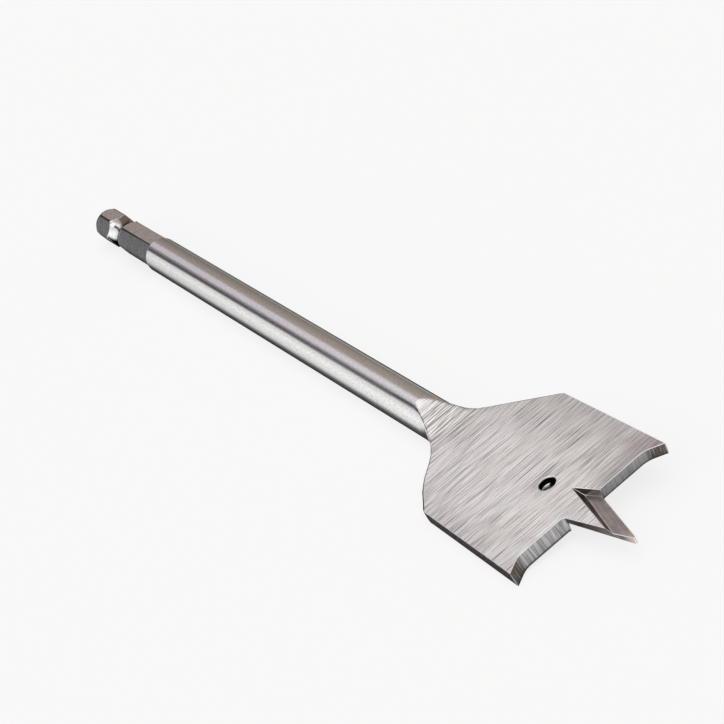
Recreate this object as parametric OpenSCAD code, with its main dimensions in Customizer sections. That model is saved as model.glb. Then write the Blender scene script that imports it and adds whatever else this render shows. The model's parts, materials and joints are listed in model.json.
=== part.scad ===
// Spade drill bit for wood, forged from one steel bar: a hexagonal quick-change shank, a round
// shaft, and a flat blade ground with two lips, two spurs and a hollow-ground centre point.
// It lies at rest on its shaft and one spur, with the tip toward +X and the floor at Z = 0.

/* [Overall] */
// Length from the rear of the shank to the tip of the point
overall_len = 197; // [120:1:400]

/* [Hex shank] */
// Width of the hexagon across its flats
hex_af = 6.25; // [5:0.05:7]
// Length of the shank, up to the full diameter of the shaft
shank_len = 27.3; // [20:0.1:40]
// Angle of one corner of the hexagon from the plane of the blade
hex_turn = 46; // [0:1:60]
// Diameter of the rear end, inside its chamfer
end_dia = 6.1; // [4.5:0.1:6.5]
// Angle of the rear chamfer from the axis
end_angle = 25; // [15:1:60]
// Distance from the rear end to the middle of the locking groove
groove_pos = 9.6; // [7:0.1:12]
// Width of the locking groove at the corners of the hexagon
groove_w = 6.2; // [3:0.1:8]
// Diameter of the neck at the bottom of the groove
groove_dia = 4.8; // [4:0.1:5.5]

/* [Shaft] */
// Diameter of the round shaft
shaft_dia = 7.3; // [6.4:0.1:9]
// Angle from the axis of the cone between the shank and the shaft
lead_angle = 30; // [15:1:60]

/* [Blade] */
// Width of the blade across the tips of its spurs
blade_w = 32; // [22:0.5:50]
// Thickness of the ground blade
blade_t = 2.5; // [1.5:0.1:3.5]
// Length of each side, from the lips back to the shoulder's corner
side_len = 25.8; // [15:0.1:40]
// Angle by which each side closes in toward the shaft
back_taper = 1.3; // [0.2:0.1:3]
// Angle of the shoulders from the axis
shoulder_angle = 39; // [30:1:60]
// Radius of the sweep from the shaft into each shoulder
shoulder_sweep = 12; // [4:0.5:16]
// Radius of the rounded corner between shoulder and side
corner_round = 1.5; // [0.3:0.1:4]

/* [Ramp from shaft to blade] */
// Angle at which the shaft slopes down to the face of the blade
ramp_angle = 22; // [18:1:40]
// Distance from the lips back to the foot of the ramp's slope
ramp_foot = 40; // [36:0.1:60]
// Radius of the brow where the ramp leaves the shaft
ramp_brow = 20; // [4:0.5:25]
// Radius at the foot of the ramp
ramp_hollow = 5; // [1:0.5:8]

/* [Lips and spurs] */
// Relief angle behind each cutting edge
relief_angle = 14; // [5:1:20]
// Width of each spur
spur_w = 3; // [1.5:0.1:5]
// Height of each spur beyond the lips
spur_h = 2; // [0.5:0.1:4]
// Radius of the hollow between lip and spur
spur_round = 4; // [0.3:0.1:6]

/* [Centre point] */
// Length of the point beyond the lips
point_len = 13.6; // [8:0.1:20]
// Width of the point at the lips
point_w = 7.1; // [5.5:0.1:10]
// Width of the blunt tip
tip_w = 0.5; // [0.2:0.1:1.2]
// Radius at the root of the point
root_round = 0.7; // [0.2:0.1:1.5]
// Depth of the hollow grind below the face, level with the lips
grind_depth = 1.4; // [0.4:0.1:1.6]
// Distance from the axis to the foot of the grind's wall, level with the lips
grind_offset = 1.35; // [0.9:0.05:2]
// Angle of the grind's wall from the axis
grind_turn = 15; // [5:1:20]
// Angle at which the floor of the grind rises toward the tip
grind_rise = 3.5; // [2:0.1:5]
// Lean of the grind's wall from upright
grind_lean = 34; // [0:1:50]
// Angle of the grind's rear wall from the axis
grind_back = 22; // [10:1:45]

/* [Pull hole] */
// Diameter of the hole through the blade
hole_dia = 3; // [1:0.1:5]
// Distance from the lips back to the middle of the hole
hole_setback = 9.9; // [8:0.1:14]

/* [Hidden] */
$fn = 96;
steel = [0.77, 0.75, 0.74];

shaft_r = shaft_dia / 2;
half_w = blade_w / 2;
half_t = blade_t / 2;
hex_corner_r = hex_af / sqrt(3);
// overlap that buries one solid in the next
bury = 0.3;
// clearance by which a cut runs past what it cuts
past = 1;
// depth by which a rounding arc bites into its two sides, so that it crosses them cleanly
bite = 0.005;

// Stations along the axis, from the rear end
lip_x = overall_len - point_len;
spur_x = lip_x + spur_h;
corner_x = lip_x - side_len;
foot_x = lip_x - ramp_foot;

// The blank's edge, which closes in from the spurs to the shoulders
corner_y = half_w - (spur_x - corner_x) * tan(back_taper);
blank_y = half_w + point_len * tan(back_taper);
neck_x = corner_x - (corner_y - shaft_r) / tan(shoulder_angle);

// The ramp's brow stands a little above the shaft, so the slope runs out as a tongue
brow_rise = 0.1;
brow_z = shaft_r + brow_rise;
brow_x = foot_x - (brow_z - half_t) / tan(ramp_angle);

// Roll that sets one spur on the floor beside the shaft
rest_roll = asin(shaft_r / half_w) - asin(half_t / half_w);

function heading(a) = [cos(a), sin(a)];

// Area between a corner at p, its two sides along the headings a and b, and a rounding arc.
// It runs a little past the corner, so that no edge of it lies along a side.
module corner_sliver(p, a, b, r) {
    u = heading(a);
    v = heading(b);
    inward = (u + v) / norm(u + v);
    half = acos(u * v) / 2;
    reach = r / tan(half);
    middle = p + inward * r / sin(half);
    difference() {
        polygon([p - inward * bury, p + u * reach, middle, p + v * reach]);
        translate(middle)
            circle(r + bite);
    }
}

// Hexagonal shank with a chamfered rear end and a locking groove, along +Z
module shank() {
    depth = hex_corner_r - groove_dia / 2;
    groove_r = (pow(groove_w / 2, 2) + depth * depth) / (2 * depth);
    hex_h = shank_len + bury;
    difference() {
        intersection() {
            cylinder(h = hex_h, r = hex_corner_r, $fn = 6);
            cylinder(h = hex_h, r1 = end_dia / 2, r2 = end_dia / 2 + hex_h * tan(end_angle));
        }
        rotate_extrude()
            translate([groove_dia / 2 + groove_r, groove_pos])
                circle(groove_r);
    }
}

// Half outline of the turned blank: radius across, distance from the rear end upward
module blank_outline() {
    lead_r = hex_af / 2 - bury;
    lead_x = shank_len - (shaft_r - lead_r) / tan(lead_angle);
    difference() {
        union() {
            polygon([
                [0, lead_x], [lead_r, lead_x], [shaft_r, shank_len], [shaft_r, neck_x],
                [corner_y, corner_x], [blank_y, overall_len], [0, overall_len]
            ]);
            corner_sliver([shaft_r, neck_x], -90, 90 - shoulder_angle, shoulder_sweep);
        }
        corner_sliver([corner_y, corner_x], -90 - shoulder_angle, 90 - back_taper, corner_round);
    }
}

// What is pressed and ground off above the blade: along the axis across, height upward
module face_outline() {
    top = half_w + past;
    front = overall_len + past;
    difference() {
        union() {
            polygon([
                [brow_x - ramp_brow, top], [brow_x - ramp_brow, brow_z], [brow_x, brow_z],
                [foot_x, half_t], [front, half_t], [front, top]
            ]);
            corner_sliver([brow_x, brow_z], 180, -ramp_angle, ramp_brow);
        }
        corner_sliver([foot_x, half_t], 180 - ramp_angle, 0, ramp_hollow);
    }
}

module face_cut() {
    rotate([90, 0, 0])
        linear_extrude(height = blade_w + 2 * past, center = true)
            face_outline();
}

// Plan of what is ground away beside the point, measured forward from the lip and out from
// the axis. The cut leans by the relief angle, which shortens the lengths along the axis.
module lip_outline() {
    k = cos(relief_angle);
    root = [0, point_w / 2];
    bend = [0, half_w - spur_w];
    outside = half_w + spur_w;
    front = (point_len + past) * k;
    slope = atan((point_w - tip_w) / 2 / (point_len * k));
    spur_slope = atan(spur_h * k / spur_w);
    difference() {
        polygon([
            root, bend, [2 * spur_h * k, outside], [front, outside],
            [front, root[1] - front * tan(slope)]
        ]);
        corner_sliver(root, 90, -slope, root_round);
        corner_sliver(bend, -90, 90 - spur_slope, spur_round);
    }
}

module lip_cut() {
    translate([lip_x, 0, half_t])
        rotate([0, relief_angle, 0])
            linear_extrude(height = 4 * half_w, center = true)
                lip_outline();
}

// Hollow grind beside the point's cutting edge: a sloping floor, a leaning wall on the side
// of the axis, and a rear wall that runs back from the root of the lip
module grind_cut() {
    reach = blade_w;
    intersection() {
        translate([lip_x, grind_offset, half_t - grind_depth])
            rotate([0, -grind_rise, -grind_turn])
                rotate([90, 0, 90])
                    linear_extrude(height = 2 * reach, center = true)
                        polygon([[0, 0], [reach, 0], [reach, reach], [-reach * tan(grind_lean), reach]]);
        translate([lip_x, point_w / 2, 0])
            rotate([0, 0, grind_back])
                translate([0, -reach / 2, 0])
                    cube([2 * reach, reach, reach], center = true);
    }
}

module pull_hole() {
    translate([lip_x - hole_setback, 0, 0])
        cylinder(h = blade_t + 2 * past, d = hole_dia, center = true);
}

module spade_bit() {
    color(steel)
        translate([-overall_len / 2, 0, shaft_r])
            rotate([rest_roll, 0, 0])
                difference() {
                    union() {
                        rotate([0, 90, 0])
                            rotate([0, 0, 90 + hex_turn])
                                shank();
                        rotate([0, 90, 0])
                            rotate_extrude()
                                blank_outline();
                    }
                    for (side = [0, 180])
                        rotate([side, 0, 0]) {
                            face_cut();
                            lip_cut();
                            grind_cut();
                        }
                    pull_hole();
                }
}

spade_bit();
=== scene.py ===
# A spade drill bit for wood, lying on a pale floor. It is one piece of tool steel, and its finish is laid
# on much as the real one is made: bar, shaft, shank, groove, blade, lips, point, hole and broken edges.
import json
import math

import bmesh
import bpy
from mathutils import Matrix, Vector


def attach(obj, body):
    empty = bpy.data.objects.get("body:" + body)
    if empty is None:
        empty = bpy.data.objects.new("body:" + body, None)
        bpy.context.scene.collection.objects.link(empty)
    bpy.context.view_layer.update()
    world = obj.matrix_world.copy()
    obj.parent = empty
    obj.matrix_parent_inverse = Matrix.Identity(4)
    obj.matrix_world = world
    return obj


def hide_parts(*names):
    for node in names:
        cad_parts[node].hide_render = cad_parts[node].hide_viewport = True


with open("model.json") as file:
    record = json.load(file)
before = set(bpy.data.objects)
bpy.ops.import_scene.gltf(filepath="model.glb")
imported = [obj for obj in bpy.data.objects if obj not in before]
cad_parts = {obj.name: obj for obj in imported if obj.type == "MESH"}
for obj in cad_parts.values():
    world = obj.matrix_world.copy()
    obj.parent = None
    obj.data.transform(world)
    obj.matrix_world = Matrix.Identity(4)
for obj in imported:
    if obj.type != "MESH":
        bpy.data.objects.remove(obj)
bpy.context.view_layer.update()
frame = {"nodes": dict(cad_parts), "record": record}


# The bar: one length of tool steel, drawn round and forged flat at its front end.
# It starts from the solid's form, with finer facets on the round stretch. Its own axes run along the
# bit, across the blade and off the blade's face, which leans because one spur touches the floor.
solid = frame["nodes"]["spade_bit"]
mounts = {mount["name"]: mount for mount in frame["record"]["mounts"]}
MM = 0.001
axis_z = mounts["shaft"]["pos_m"][2]
shaft_r = mounts["shaft"]["dims"]["r_mm"] * MM
blade_up = Vector(mounts["pull_hole"]["axis"])
roll = math.atan2(-blade_up.y, blade_up.z)
to_bit = Matrix.Rotation(-roll, 4, "X") @ Matrix.Translation((0, 0, -axis_z))
from_bit = to_bit.inverted()

WELD = 0.001 * MM
FLAT = math.radians(0.4)
SHAFT_CUTS = 48
SKIN = 0.06 * MM

bar = bmesh.new()
bar.from_mesh(solid.data)
bmesh.ops.transform(bar, matrix=to_bit, verts=bar.verts)
bmesh.ops.remove_doubles(bar, verts=bar.verts, dist=WELD)
bmesh.ops.dissolve_limit(bar, angle_limit=FLAT, verts=bar.verts, edges=bar.edges)


def radius(point):
    return math.hypot(point.y, point.z)


def on_shaft(face):
    return all(abs(radius(vert.co) - shaft_r) < SKIN for vert in face.verts)


def cut_faces(chosen, place, normal):
    """Cut the faces that the test picks, in a fixed order, along the plane through that place."""
    faces = [face for face in bar.faces if chosen(face)]
    edges = dict.fromkeys(edge for face in faces for edge in face.edges)
    verts = dict.fromkeys(vert for face in faces for vert in face.verts)
    bmesh.ops.bisect_plane(
        bar, geom=[*verts, *edges, *faces], dist=WELD, plane_co=place, plane_no=normal)


for cut in range(SHAFT_CUTS):
    angle = math.pi * (cut + 0.5) / SHAFT_CUTS
    cut_faces(on_shaft, (0, 0, 0), (0, math.cos(angle), math.sin(angle)))
for vert in {vert for face in bar.faces if on_shaft(face) for vert in face.verts}:
    vert.co.yz = vert.co.yz * (shaft_r / radius(vert.co))


# The shaft: the drawn bar itself, left as it came from the die and tumbled to a satin skin.
# Faint drawing lines run along it, under a fine speckle.
shaft_start = mounts["shaft"]["pos_m"][0] / MM - mounts["shaft"]["dims"]["length_mm"] / 2
shaft_grey = (0.86, 0.85, 0.845, 1)
shaft_pale = (0.98, 0.975, 0.97, 1)
shaft_rim = 0.2
SPECK = (0.6, 0.3, 0.3)
SOFT = (0.35, 0.65)


class Shade:
    """A socket in a node tree. Arithmetic on it adds Math nodes, and make() adds any other node."""

    def __init__(self, tree, socket=None):
        self.tree = tree
        self.socket = socket

    def make(self, kind, settings, inputs, output=0):
        node = self.tree.nodes.new(kind)
        for name, value in settings.items():
            if name == "stops":
                ramp = node.color_ramp
                while len(ramp.elements) < len(value):
                    ramp.elements.new(1)
                for element, (place, colour) in zip(ramp.elements, value):
                    element.position = place
                    element.color = colour
            else:
                setattr(node, name, value)
        for name, value in inputs.items():
            if isinstance(value, Shade):
                self.tree.links.new(value.socket, node.inputs[name])
            else:
                node.inputs[name].default_value = value
        return Shade(self.tree, node.outputs[output] if node.outputs else None)

    def math(self, operation, a, b):
        return self.make("ShaderNodeMath", {"operation": operation}, {0: a, 1: b})

    def __add__(self, other):
        return self.math("ADD", self, other)

    def __radd__(self, other):
        return self.math("ADD", other, self)

    def __sub__(self, other):
        return self.math("SUBTRACT", self, other)

    def __rsub__(self, other):
        return self.math("SUBTRACT", other, self)

    def __mul__(self, other):
        return self.math("MULTIPLY", self, other)

    def __rmul__(self, other):
        return self.math("MULTIPLY", other, self)

    def part(self, axis):
        return self.make("ShaderNodeSeparateXYZ", {}, {"Vector": self}, output=axis)


def mixed(share, low, high):
    colours = {"Factor": share, 6: low, 7: high}
    return share.make("ShaderNodeMix", {"data_type": "RGBA"}, colours, output=2)


def between(value, low, high):
    """How far a value is from low to high, eased at both ends and held between 0 and 1."""
    ends = {"Value": value, "From Min": low, "From Max": high}
    return value.make("ShaderNodeMapRange", {"interpolation_type": "SMOOTHSTEP"}, ends)


def measured(place, origin, turn, unit):
    """That place as seen from axes with that origin, turn and unit of length."""
    axes = {"Vector": place, "Location": origin, "Rotation": turn, "Scale": unit}
    return place.make("ShaderNodeMapping", {"vector_type": "TEXTURE"}, axes)


def grain(place, size, turn=0.0, shift=0.0, detail=3.0):
    """Noise whose specks measure about size, in millimetres along the bit, across it and off it."""
    stretched = measured(place, (shift, shift, shift), (0, 0, turn), size)
    return place.make("ShaderNodeTexNoise", {}, {"Vector": stretched, "Scale": 1, "Detail": detail})


def start_finish(name):
    """An empty material, and the place on the bit in millimetres in its own axes."""
    material = bpy.data.materials.new(name)
    material.use_nodes = True
    tree = material.node_tree
    tree.nodes.clear()
    here = Shade(tree).make("ShaderNodeTexCoord", {}, {}, output="Object")
    return material, measured(here, (0, 0, axis_z), (roll, 0, 0), (MM, MM, MM))


def end_finish(colour, roughness, height, depth, rim=1.0):
    """Bare metal with that colour, roughness, relief and depth of relief in millimetres.
    Rim is what is left of its reflection where it turns away from sight."""
    relief = colour.make("ShaderNodeBump", {}, {"Height": height, "Distance": depth * MM, "Strength": 1})
    metal = {"Base Color": colour, "Roughness": roughness, "Metallic": 1, "Normal": relief}
    metal["Specular Tint"] = (rim, rim, rim, 1)
    surface = colour.make("ShaderNodeBsdfPrincipled", {}, metal)
    colour.make("ShaderNodeOutputMaterial", {}, {"Surface": surface})


finishes = []


def lay_on(material, chosen):
    """Give that finish to the faces that the test picks, by their middle in millimetres and normal."""
    finishes.append(material)
    for face in bar.faces:
        if chosen(face.calc_center_median() / MM, face.normal):
            face.material_index = len(finishes) - 1


def satin_skin(speckle):
    return mixed(between(speckle, *SOFT), shaft_grey, shaft_pale)


drawn, place = start_finish("drawn_steel")
speckle = grain(place, SPECK)
lines = grain(place, (16, 0.35, 0.35), shift=7)
end_finish(
    satin_skin(speckle), roughness=0.14 + 0.05 * lines, height=speckle + 0.8 * lines, depth=0.0022,
    rim=shaft_rim)
lay_on(drawn, lambda middle, normal: True)


# The shank: a hexagon milled on the rear of the bar, one pair of flats at a time. Faint cutter marks
# cross each pair. Each pair is painted its own tone: the pair facing up lighter and the others darker,
# as painted light and shade. The rear end and the corners between the flats keep the dark scale of the
# bar.
hex_turn = 46
chamfer_len = 1.5
rear_x = mounts["hex_shank"]["pos_m"][0] / MM
# The flat pairs' tones: painted light on the pair facing up, painted shade on the other two.
lit_and_shaded_flat_tones = {
    "milled_flat_painted_lit": (30, (0.54, 0.51, 0.51, 1), (0.72, 0.69, 0.69, 1)),
    "milled_flat_painted_shade": (90, (0.062, 0.059, 0.063, 1), (0.145, 0.14, 0.147, 1)),
    "milled_flat_painted_dim": (-30, (0.08, 0.077, 0.077, 1), (0.16, 0.155, 0.152, 1)),
}
scale_black = (0.02, 0.019, 0.02, 1)
scale_grey = (0.06, 0.057, 0.057, 1)
CLEAR = (0.38, 0.62)
SQUARE_ON = 0.95
REARWARD = -0.2


def mill_flats(name, turn, grey, pale):
    facing = Matrix.Rotation(math.radians(hex_turn + turn), 3, "X") @ Vector((0, 1, 0))
    milled, place = start_finish(name)
    marks = grain(place, (0.3, 6, 6), shift=3)
    speckle = grain(place, (0.45, 0.45, 0.45), shift=11)
    colour = mixed(between(0.5 * marks + 0.5 * speckle, *CLEAR), grey, pale)
    end_finish(colour, roughness=0.22 + 0.14 * speckle, height=marks, depth=0.003)

    def is_flat(middle, normal):
        return middle.x < shaft_start and abs(normal.dot(facing)) > SQUARE_ON

    lay_on(milled, is_flat)


def patchy(place, dark, light):
    """A tone that wavers between two colours in small soft patches, and the noise that drives it."""
    touches = grain(place, (0.8, 0.8, 0.8), shift=67)
    return mixed(between(touches, *SOFT), dark, light), touches


for name, (turn, grey, pale) in lit_and_shaded_flat_tones.items():
    mill_flats(name, turn, grey, pale)
flats = set(finishes[1:])

scaled, place = start_finish("dark_scale")
colour, touches = patchy(place, scale_black, scale_grey)
end_finish(colour, roughness=0.3 + 0.1 * touches, height=touches, depth=0.003)
lay_on(scaled, lambda middle, normal: middle.x < rear_x + chamfer_len and normal.x < REARWARD)


# The locking groove: turned after the flats were milled, so its neck is bright, with fine rings.
# Its upper left side is painted brown, a painted reflection of the warm wall, and its lower side is
# painted dark, a painted shade.
groove_rear = rear_x + 6.3
groove_front = rear_x + 12.9
neck_r = 3.05
groove_grey = (0.86, 0.86, 0.87, 1)
groove_pale = (1.0, 1.0, 1.0, 1)
groove_painted_reflection = (0.36, 0.31, 0.285, 1)
painted_shade_dark = (0.04, 0.037, 0.037, 1)
reflection_toward = (0.85, 0.53)
reflection_fade = (0.7, 1.5)
shade_fade = (-2.5, -1.7)
SLANTED = 0.02

turned, place = start_finish("turned_groove")
rings = grain(place, (0.12, 20, 20), shift=29)
across = reflection_toward[0] * place.part("Y") + reflection_toward[1] * place.part("Z")
colour = mixed(between(rings, 0.35, 0.6), groove_grey, groove_pale)
# Painted reflection of the warm wall on the upper left, then painted shade on the lower side.
colour = mixed(between(across, *reflection_fade), colour, groove_painted_reflection)
colour = mixed(1 - between(across, *shade_fade), colour, painted_shade_dark)
end_finish(colour, roughness=0.12 + 0.08 * rings, height=rings, depth=0.002, rim=shaft_rim)


def is_turned(middle, normal):
    in_groove = groove_rear < middle.x < groove_front
    return in_groove and (abs(normal.x) > SLANTED or radius(middle) < neck_r)


lay_on(turned, is_turned)


# The blade: forged flat, then ground across on both faces. The wheel leaves fine streaks, light and
# dark, that lean a little from square, coarser ones on the slope up to the shaft, and a brown burn
# behind the lip on the side where it runs out; the burn also serves as painted shade on the far
# front of each face. The faces are painted darker toward their edges, as painted shade.
hole_setback = 9.9
hole_x = mounts["pull_hole"]["pos_m"][0] / MM
half_t = mounts["pull_hole"]["dims"]["length_mm"] / 2
lip_x = hole_x + hole_setback
slope_start = 34.0
skin_out = (35.0, 40.0)
slope_in = (37.0, 42.0)
slope_out = (46.0, 52.0)
burn_shade_across = (1.0, 6.0)
burn_shade_along = (lip_x - 5, lip_x - 0.5)
far_dim = (2.0, 16.0)
near_dim = (9.0, 15.0)
blade_grey = (0.88, 0.865, 0.87, 1)
blade_dark = (0.26, 0.235, 0.225, 1)
blade_light = (1.0, 0.995, 0.995, 1)
blade_lilac = (0.88, 0.86, 0.90, 1)
blade_burn_and_shade = (0.30, 0.255, 0.255, 1)
slope_brown = (0.17, 0.14, 0.115, 1)
streak_turn = math.radians(-0.8)
light_turn = streak_turn + math.radians(1)
scratch_turn = streak_turn - math.radians(2)
coarse_turn = streak_turn + math.radians(3)
LEVEL = 0.88
CROSSWISE = 0.02
SLOPING = 0.05
NEAR = 0.1

ground, place = start_finish("ground_blade")
length = place.part("X")
width = place.part("Y") * place.math("SIGN", place.part("Z"), 0)
broad = grain(place, (2.2, 50, 4), turn=streak_turn, shift=2)
patches = grain(place, (9, 14, 4), turn=streak_turn, shift=41)
dark_lines = grain(place, (0.1, 8, 4), turn=streak_turn, shift=5, detail=1)
light_lines = grain(place, (0.1, 8, 4), turn=light_turn, shift=13, detail=1)
scratches = grain(place, (0.14, 26, 4), turn=scratch_turn, shift=19, detail=1)
coarse_dark = grain(place, (0.2, 6, 9), turn=coarse_turn, shift=31, detail=1)
coarse_light = grain(place, (0.2, 7, 9), turn=coarse_turn, shift=71, detail=1)
on_slope = between(length, *slope_in) * (1 - between(length, *slope_out))
newly_ground = between(length, *skin_out)
# The burn doubles as painted shade; the darkening toward the edges is painted shade.
burn_and_corner_shade = between(width, *burn_shade_across) * between(length, *burn_shade_along)
painted_edge_shade = between(width, *far_dim) * 0.3 + between(0 - width, *near_dim) * 0.18
burn_and_painted_shade = (painted_edge_shade + burn_and_corner_shade * 0.4 + on_slope * 0.1) * (0.1 + 1.8 * dark_lines)
colour = mixed(between(patches, 0.4, 0.65), blade_grey, blade_lilac)
colour = mixed(between(broad, 0.5, 0.75) * 0.14, colour, blade_dark)
colour = mixed(between(dark_lines, 0.47, 0.62), colour, blade_dark)
colour = mixed(between(scratches, 0.6, 0.68) * 0.75, colour, blade_dark)
colour = mixed(between(light_lines, 0.47, 0.57), colour, blade_light)
colour = mixed(burn_and_painted_shade, colour, blade_burn_and_shade)
colour = mixed(between(coarse_light, 0.5, 0.58) * on_slope, colour, blade_light)
colour = mixed(between(coarse_dark, 0.5, 0.57) * on_slope * 0.65, colour, slope_brown)
colour = mixed(newly_ground, satin_skin(grain(place, SPECK)), colour)
height = (dark_lines + light_lines + coarse_dark * on_slope) * newly_ground
end_finish(colour, roughness=0.16 + (0.18 + 0.14 * dark_lines) * newly_ground, height=height, depth=0.01)


def is_ground(middle, normal):
    on_face = abs(abs(middle.z) - half_t) < NEAR
    is_level = abs(normal.z) > LEVEL and abs(normal.y) < CROSSWISE
    return middle.x > slope_start and is_level and (on_face or normal.x > SLOPING)


lay_on(ground, is_ground)


# The edges of the blade: shoulders and sides, rough-ground along their length and left darker.
# The bar's own skin runs out into the shoulders.
shoulder_start = 43.0
shoulder_end = 52.0
edge_grey = (0.34, 0.30, 0.305, 1)
edge_pale = (0.60, 0.54, 0.545, 1)
SIDEWAYS = 0.5

rough, place = start_finish("rough_edge")
marks = grain(place, (0.5, 3, 0.5), shift=17)
colour = mixed(between(marks, *CLEAR), edge_grey, edge_pale)
colour = mixed(between(place.part("X"), shoulder_start, shoulder_end), shaft_grey, colour)
end_finish(colour, roughness=0.3 + 0.12 * marks, height=marks, depth=0.006, rim=shaft_rim)


def is_edge(middle, normal):
    return middle.x > shoulder_start and abs(normal.y) > SIDEWAYS and abs(middle.y) > shaft_r / MM


lay_on(rough, is_edge)


# The shoulder on the point's right was trimmed fuller than the other one: its line bows out.
# It is cut into short steps, and each is pushed square to the line.
BOW = 0.68
BOW_STEP = 0.5
bow_rise = (48.5, 53.5)
bow_fall = (54.5, 59.8)
shoulder_angle = math.radians(39)


def slice_faces(normal, first, last, step, chosen):
    """Cut the faces that the test picks into strips one step wide, across that normal."""
    for count in range(round((last - first) / step) + 1):
        cut_faces(chosen, Vector(normal) * (first + count * step) * MM, normal)


def crosses(face, first, last):
    reach = [vert.co.x / MM for vert in face.verts]
    return min(reach) < last and max(reach) > first


def eased(value, low, high):
    share = min(max((value - low) / (high - low), 0), 1)
    return share * share * (3 - 2 * share)


def on_right(face):
    is_right = min(vert.co.y for vert in face.verts) < -shaft_r
    return is_right and crosses(face, bow_rise[0], bow_fall[1])


slice_faces((1, 0, 0), bow_rise[0], bow_fall[1], BOW_STEP, on_right)
trimmed = [face for face in bar.faces if finishes[face.material_index] == rough]
for vert in {vert for face in trimmed for vert in face.verts if vert.co.y < 0}:
    x = vert.co.x / MM
    push = BOW * eased(x, *bow_rise) * (1 - eased(x, *bow_fall))
    vert.co.x -= push * math.sin(shoulder_angle) * MM
    vert.co.y -= push * math.cos(shoulder_angle) * MM


# The lips and spurs: the front of the blade, ground to a relief angle. The wheel runs through the
# thickness, so its streaks cross the edge. The left lip is painted a little brighter, as painted
# light, the spurs are brown, and the lower edge is painted dark, as painted shade.
lip_depth = 2.0
spur_in = (12.5, 14.0)
left_painted_light = (1.0, 4.0)
low_shade_up = (0.2 - half_t, 0.5 - half_t)
lip_grey = (0.29, 0.29, 0.29, 1)
lip_pale = (0.66, 0.66, 0.665, 1)
lip_light = (1.0, 1.0, 1.0, 1)
spur_brown = (0.17, 0.135, 0.115, 1)
FORWARD = 0.5

relieved, place = start_finish("relieved_lip")
streaks = grain(place, (9, 0.35, 9), shift=23)
hairs = grain(place, (9, 0.11, 3), shift=37, detail=1)
left = place.part("Y")
on_spur = between(place.math("ABSOLUTE", left, 0), *spur_in)
painted_low_shade = 1 - between(place.part("Z"), *low_shade_up)
colour = mixed(between(0.6 * streaks + 0.4 * hairs, *SOFT), lip_grey, lip_pale)
# Painted light on the left lip.
colour = mixed(between(left, *left_painted_light) * 0.3, colour, lip_light)
colour = mixed(on_spur * 0.85, colour, spur_brown)
colour = mixed(between(hairs, 0.6, 0.72) * 0.7, colour, lip_light)
# Painted shade along the lower edge.
colour = mixed(painted_low_shade * 0.8, colour, painted_shade_dark)
end_finish(colour, roughness=0.28 + 0.12 * streaks, height=streaks + hairs, depth=0.004)
lay_on(relieved, lambda middle, normal: middle.x > lip_x - lip_depth and normal.x > FORWARD)


# The centre point: its two sides are ground like the lips, and beside each cutting edge a small
# wheel has left a hollow with a smooth floor; its walls are painted darker, as painted shade.
# The tip has a pink heat tint.
point_w = 7.1
point_root = 0.5
hollow_rear = hole_x + 3
hollow_turn = math.radians(-15)
tip_x = -rear_x
tip_in = (lip_x + 11, lip_x + 13.4)
floor_tint = (lip_x + 10, lip_x + 13.4)
point_grey = (0.17, 0.15, 0.14, 1)
point_pale = (0.29, 0.265, 0.25, 1)
tip_pink = (0.78, 0.66, 0.60, 1)
hollow_grey = (0.34, 0.305, 0.30, 1)
hollow_pale = (0.44, 0.40, 0.395, 1)
back_grey = (0.42, 0.39, 0.375, 1)
back_pale = (0.62, 0.585, 0.565, 1)
wall_shade_brown = (0.08, 0.065, 0.058, 1)
wall_shade_pale = (0.20, 0.17, 0.158, 1)
BROADSIDE = 0.7
UPRIGHT = 0.3
FLOORLIKE = 0.9
LEANING = (0.4, 0.7)

pointed, place = start_finish("ground_point")
streaks = grain(place, (5, 0.3, 0.25), shift=43)
colour = mixed(between(streaks, *CLEAR), point_grey, point_pale)
colour = mixed(between(place.part("X"), *tip_in) * 0.8, colour, tip_pink)
end_finish(colour, roughness=0.3 + 0.12 * streaks, height=streaks, depth=0.005)

hollowed, place = start_finish("hollow_floor")
sweeps = grain(place, (6, 0.35, 4), turn=hollow_turn, shift=47)
clouds = grain(place, (1.6, 0.9, 4), turn=hollow_turn, shift=53)
colour = mixed(between(0.5 * sweeps + 0.5 * clouds, *CLEAR), hollow_grey, hollow_pale)
colour = mixed(between(place.part("X"), *floor_tint) * 0.5, colour, tip_pink)
end_finish(colour, roughness=0.24 + 0.08 * clouds, height=sweeps, depth=0.003)

backed, place = start_finish("hollow_back")
streaks = grain(place, (3, 3, 0.25), shift=73)
colour = mixed(between(streaks, *CLEAR), back_grey, back_pale)
end_finish(colour, roughness=0.3 + 0.12 * streaks, height=streaks, depth=0.005)

# The hollow's walls: painted shade, darker than its floor.
walled, place = start_finish("hollow_wall")
sweeps = grain(place, (4, 0.4, 0.25), shift=59)
colour = mixed(between(sweeps, *CLEAR), wall_shade_brown, wall_shade_pale)
end_finish(colour, roughness=0.26 + 0.1 * sweeps, height=sweeps, depth=0.004)


def by_point(middle, normal):
    is_inner = abs(middle.y) < point_w / 2 + point_root
    return middle.x > hollow_rear and is_inner and normal.x < FORWARD


def is_steep(middle, normal):
    faces_across = abs(normal.y) > BROADSIDE and abs(normal.z) < UPRIGHT
    return by_point(middle, normal) and faces_across


def is_side(middle, normal):
    faces_out = normal.y * middle.y > 0
    return middle.x > tip_x - NEAR or (is_steep(middle, normal) and faces_out)


def is_back(middle, normal):
    return is_steep(middle, normal) and normal.y * middle.y < 0


def is_floor(middle, normal):
    return by_point(middle, normal) and abs(normal.z) > FLOORLIKE and abs(middle.z) < half_t - NEAR


def is_wall(middle, normal):
    return by_point(middle, normal) and LEANING[0] < abs(normal.z) < LEANING[1]


lay_on(pointed, is_side)
lay_on(backed, is_back)
lay_on(hollowed, is_floor)
lay_on(walled, is_wall)


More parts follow.
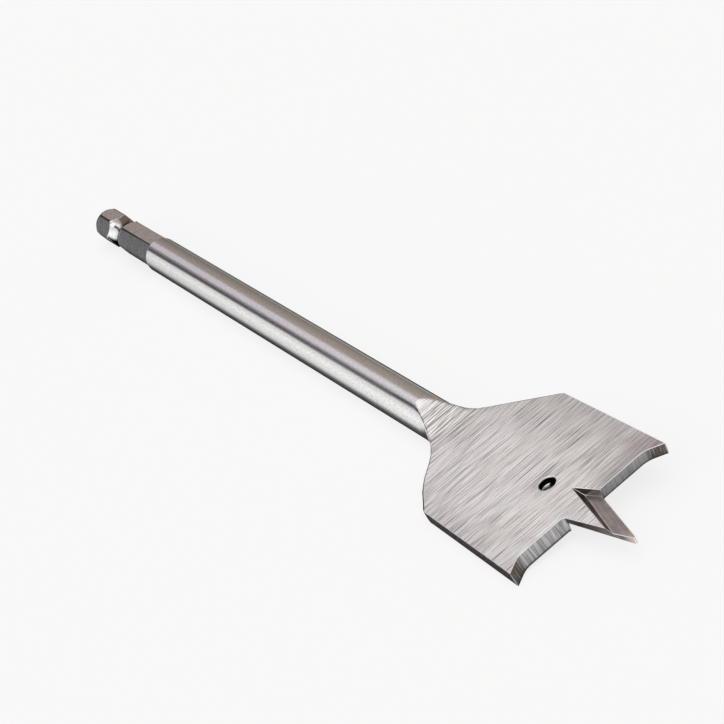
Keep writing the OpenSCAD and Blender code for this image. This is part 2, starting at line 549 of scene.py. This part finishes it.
# The pull hole: drilled after grinding, with fine rings in its wall and a clean rim. The wall is
# painted dark, as painted shade in the hole. A worn burr low on its rear wall is raised by its
# relief and painted light, as a painted highlight.
hole_r = mounts["pull_hole"]["dims"]["r_mm"]
hole_slack = 0.05
hole_shade_black = (0.03, 0.027, 0.026, 1)
hole_shade_grey = (0.10, 0.095, 0.09, 1)
burr_painted_highlight = (1.0, 0.99, 0.98, 1)
burr_back = (1.05, 1.4)
burr_up = (-1.1, 0.5)
burr_in = (0.1, 0.4)
burr_rise = 0.6

drilled, place = start_finish("drilled_wall")
rings = grain(place, (8, 8, 0.16), shift=61)
low_down = 1 - between(place.part("Z"), *burr_up)
burr_and_highlight = between(hole_x - place.part("X"), *burr_back) * between(low_down, *burr_in)
# Painted shade on the wall, and a painted highlight on the burr.
colour = mixed(between(rings, 0.4, 0.62), hole_shade_black, hole_shade_grey)
colour = mixed(burr_and_highlight, colour, burr_painted_highlight)
end_finish(colour, roughness=0.22 + 0.1 * rings, height=low_down * burr_and_highlight + 0.01 * rings, depth=burr_rise)


def is_hole(middle, normal):
    from_hole = math.hypot(middle.x - hole_x, middle.y)
    return from_hole < hole_r + hole_slack and abs(normal.z) < UPRIGHT


lay_on(drilled, is_hole)


# The slope's run-out: the wheel leaves a soft tongue where the slope meets the round shaft.
# The faces there are cut into small cells, and the crease between slope and shaft is smoothed,
# most at its rear and less toward the blade.
CELL = 0.45
CREASE = math.radians(4.5)
CREASE_RINGS = 3
tongue_rear = 30.0
tongue_front = 50.0
crease_fronts = (46, 45, 44, 43, 42, 41, 41, 40, 40, 39)


def reaches_tongue(face):
    return crosses(face, tongue_rear, tongue_front)


def in_tongue(face):
    return tongue_rear < face.calc_center_median().x / MM < tongue_front


def is_crease(edge):
    parted = {finishes[face.material_index] for face in edge.link_faces}
    return parted in ({ground, drawn}, {ground, rough}) and edge.calc_face_angle() > CREASE


slice_faces((1, 0, 0), tongue_rear, tongue_front, CELL, reaches_tongue)
slice_faces((0, 1, 0), -shaft_r / MM, shaft_r / MM, CELL, in_tongue)
creased = {vert for edge in bar.edges if is_crease(edge) for vert in edge.verts}
for ring in range(CREASE_RINGS):
    creased |= {edge.other_vert(vert) for vert in creased for edge in vert.link_edges}
for front in crease_fronts:
    band = [vert for vert in creased if tongue_rear < vert.co.x / MM < front]
    bmesh.ops.smooth_vert(
        bar, verts=band, factor=0.5, use_axis_x=True, use_axis_y=True, use_axis_z=True)


# The edges are broken by a touch of the stone, which leaves a fine bright line on each.
# The shoulders' edges are rounder and stay dark, and so do the hexagon's corners.
EDGE_BREAK = 0.09 * MM
SHOULDER_BREAK = 0.28 * MM
RIM_BREAK = 0.2 * MM
CORNER_BREAK = 0.27 * MM
SHARP = math.radians(28)
side_len = 25.8
shoulder_corner = lip_x - side_len
dull_in = (crease_fronts[0], crease_fronts[0] + 5)
edge_light = (0.97, 0.96, 0.955, 1)
edge_shade = (0.84, 0.825, 0.82, 1)

stoned, place = start_finish("stoned_edge")
colour, touches = patchy(place, edge_shade, edge_light)
end_finish(colour, roughness=0.25 + 0.1 * touches, height=touches, depth=0.003)
finishes.append(stoned)

dulled, place = start_finish("dull_shoulder")
colour, touches = patchy(place, scale_black, scale_grey)
colour = mixed(between(place.part("X"), *dull_in), shaft_grey, colour)
end_finish(colour, roughness=0.3 + 0.1 * touches, height=touches, depth=0.003, rim=shaft_rim)
finishes.append(dulled)


def break_edges(finish, width, chosen):
    """Round the sharp edges that the test picks, by the finishes that they part and their place."""
    edges = []
    for edge in bar.edges:
        if edge.is_manifold and edge.calc_face_angle() > SHARP:
            parted = {finishes[face.material_index] for face in edge.link_faces}
            if chosen(parted, edge.verts[0].co.x / MM):
                edges.append(edge)
    bmesh.ops.bevel(
        bar, geom=edges, offset=width, offset_type="OFFSET", segments=2, profile=0.5,
        affect="EDGES", clamp_overlap=False, material=finishes.index(finish))


def is_corner(parted, x):
    by_end = scaled in parted and len(parted & flats) == 1
    return parted <= flats or parted == {scaled} or by_end


def is_rim(parted, x):
    return parted == {ground, drilled}


def is_shoulder(parted, x):
    return parted == {ground, rough} and crease_fronts[0] < x < shoulder_corner


def is_left(parted, x):
    by_tongue = tongue_rear < x < crease_fronts[0] or parted <= {ground, drawn}
    is_broken = not parted.isdisjoint({stoned, dulled})
    return not (is_broken or by_tongue or is_corner(parted, x))


break_edges(dulled, SHOULDER_BREAK, is_shoulder)
break_edges(stoned, RIM_BREAK, is_rim)
break_edges(stoned, EDGE_BREAK, is_left)
break_edges(scaled, CORNER_BREAK, is_corner)
bmesh.ops.transform(bar, matrix=from_bit, verts=bar.verts)

bit_mesh = bpy.data.meshes.new("finished_bit")
bar.to_mesh(bit_mesh)
bar.free()
bit = bpy.data.objects.new("finished_bit", bit_mesh)
bpy.context.scene.collection.objects.link(bit)
for finish in finishes:
    bit_mesh.materials.append(finish)
bit_mesh.shade_smooth()
bit_mesh.set_sharp_from_angle(angle=SHARP)
even = bit.modifiers.new("even_normals", "WEIGHTED_NORMAL")
even.mode = "FACE_AREA"
even.weight = 50
even.keep_sharp = True
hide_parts("spade_bit")
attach(bit, "root")


# The floor: a wide pale sheet. To the eye it is almost white, with a soft shadow.
# In what the steel mirrors, it is white further off and grey close round the bit, a painted shade
# that stands for the bit's shadow there.
FLOOR_SIZE = 8.0
FLOOR_CLEARED = 0.8
SHADE_EDGE = (5 * MM, 11 * MM)
SHADE_FRONT = (82 * MM, 100 * MM)
SHADE_REAR = (100 * MM, 110 * MM)
SHADE_WEDGE = 0.012
FAR_SIDE = 0.4
SHOULDERS = (40 * MM, 58 * MM)
BLADE_SPREAD = 13 * MM
floor_white = (0.97, 0.975, 0.98, 1)
floor_grey = (0.29, 0.29, 0.29, 1)

half = FLOOR_SIZE / 2
corners = [(-half, -half, 0), (half, -half, 0), (half, half, 0), (-half, half, 0)]
floor_mesh = bpy.data.meshes.new("floor")
floor_mesh.from_pydata(corners, [], [(0, 1, 2, 3)])
floor = bpy.data.objects.new("floor", floor_mesh)
bpy.context.scene.collection.objects.link(floor)
pale = bpy.data.materials.new("pale_floor")
pale.use_nodes = True
pale.node_tree.nodes.clear()
seen = Shade(pale.node_tree)
straight, mirrored, through = [
    seen.make("ShaderNodeLightPath", {}, {}, output=ray)
    for ray in ("Is Camera Ray", "Is Glossy Ray", "Is Transmission Ray")]
spot = seen.make("ShaderNodeTexCoord", {}, {}, output="Object")
ahead = spot.part("X")
aside = spot.part("Y")
by_blade = between(ahead, *SHOULDERS) * BLADE_SPREAD
beside = seen.math("MAXIMUM", 0 - aside, aside * FAR_SIDE) - by_blade - ahead * SHADE_WEDGE
beyond = seen.math("MAXIMUM", between(ahead, *SHADE_FRONT), between(0 - ahead, *SHADE_REAR))
# Close round the bit, mirrored rays see the grey floor: painted shade.
apart = seen.math("MAXIMUM", between(beside, *SHADE_EDGE), beyond)
tone = mixed(straight, floor_grey, floor_white)
shaded = seen.make("ShaderNodeBsdfDiffuse", {}, {"Color": tone})
white = seen.make("ShaderNodeEmission", {}, {"Strength": 1})
cleared = straight * FLOOR_CLEARED + (mirrored + through) * apart
surface = seen.make("ShaderNodeMixShader", {}, {0: cleared, 1: shaded, 2: white})
seen.make("ShaderNodeOutputMaterial", {}, {"Surface": surface})
floor_mesh.materials.append(pale)


# The sky: soft light all round, dim low in front. A bright panel stands on the bit's right and a
# dim warm wall on its left. Straight behind, a paler stretch and a dark gap lie between the two.
# Around is the turn about the bit, from 0 on its left through 0.5 overhead to 1 on its right.
SKY_LEVEL = 1.15
overhead = (1.08, 1.06, 1.055, 1)
soft_box = (0.9, 0.885, 0.88, 1)
side_high = (0.64, 0.64, 0.63, 1)
side_low = (0.92, 0.92, 0.905, 1)
dark_gap = (0.02, 0.018, 0.02, 1)
warm_wall = (0.36, 0.315, 0.28, 1)
front_dim = (0.28, 0.28, 0.28, 1)
stretch_warm = (0.38, 0.33, 0.29, 1)
stretch_brown = (0.345, 0.30, 0.264, 1)
stretch_lilac = (0.57, 0.535, 0.57, 1)
stretch_dim = (0.46, 0.43, 0.46, 1)
stretch_dark = (0.20, 0.185, 0.20, 1)
stretch_stops = [
    (0.0, stretch_warm), (0.22, stretch_brown), (0.37, stretch_brown), (0.43, stretch_lilac),
    (0.55, stretch_lilac), (0.61, stretch_dim), (0.66, stretch_dark)]
# Toward straight behind, the edges of the panel and of the gap slant down.
SLANT = 0.8
SLANT_FROM = 0.79
SLANT_ZERO = 0.845

world = bpy.data.worlds.new("studio")
world.use_nodes = True
bpy.context.scene.world = world
world.node_tree.nodes.clear()
sky = Shade(world.node_tree).make("ShaderNodeTexCoord", {}, {}, output="Generated")
along = sky.part("X")
behind = 0 - along
upward = sky.part("Z")
around = sky.math("ARCTAN2", upward, sky.part("Y")) * (1 / math.pi)
panels = around + SLANT * (SLANT_ZERO - sky.math("MAXIMUM", behind, SLANT_FROM))
stretch = around.make("ShaderNodeValToRGB", {"stops": stretch_stops}, {"Fac": around})
rear_half = between(behind, 0.2, 0.4)
in_box = between(upward, 0.8, 0.92) * (1 - between(behind, 0.0, 0.2))
in_stretch = between(behind, 0.77, 0.80) + between(around, 0.54, 0.60) * rear_half
in_gap = between(panels, 0.65, 0.685) * (1 - between(panels, 0.725, 0.765)) * rear_half
in_front = between(along, 0.35, 0.65) * (1 - between(upward, 0.35, 0.6))
side_panel = mixed(between(around, 0.75, 1.0), side_high, side_low)
light = mixed(between(around, 0.35, 0.46), warm_wall, overhead)
light = mixed(in_box, light, soft_box)
light = mixed(in_stretch, light, stretch)
light = mixed(between(panels, 0.74, 0.79), light, side_panel)
light = mixed(in_gap, light, dark_gap)
light = mixed(in_front, light, front_dim)
shine = sky.make("ShaderNodeBackground", {}, {"Color": light, "Strength": SKY_LEVEL})
sky.make("ShaderNodeOutputWorld", {}, {"Surface": shine})


# The camera: it stands at the front, looks down along the bit and is tilted to its right.
IMAGE = 724
FOCAL = 2503.1
camera_at = Vector((0.3801, -0.1314, 0.2155))
camera_aim = Vector((0.0103, 0.0022, 0.004))
camera_tilt = math.radians(22)

lens = bpy.data.cameras.new("camera")
lens.sensor_width = 36
lens.lens = FOCAL / IMAGE * lens.sensor_width
camera = bpy.data.objects.new("camera", lens)
level = (camera_aim - camera_at).to_track_quat("-Z", "Y").to_matrix().to_4x4()
camera.matrix_world = Matrix.Translation(camera_at) @ level @ Matrix.Rotation(-camera_tilt, 4, "Z")
bpy.context.scene.collection.objects.link(camera)
bpy.context.scene.camera = camera
bpy.context.scene.view_settings.view_transform = "Standard"
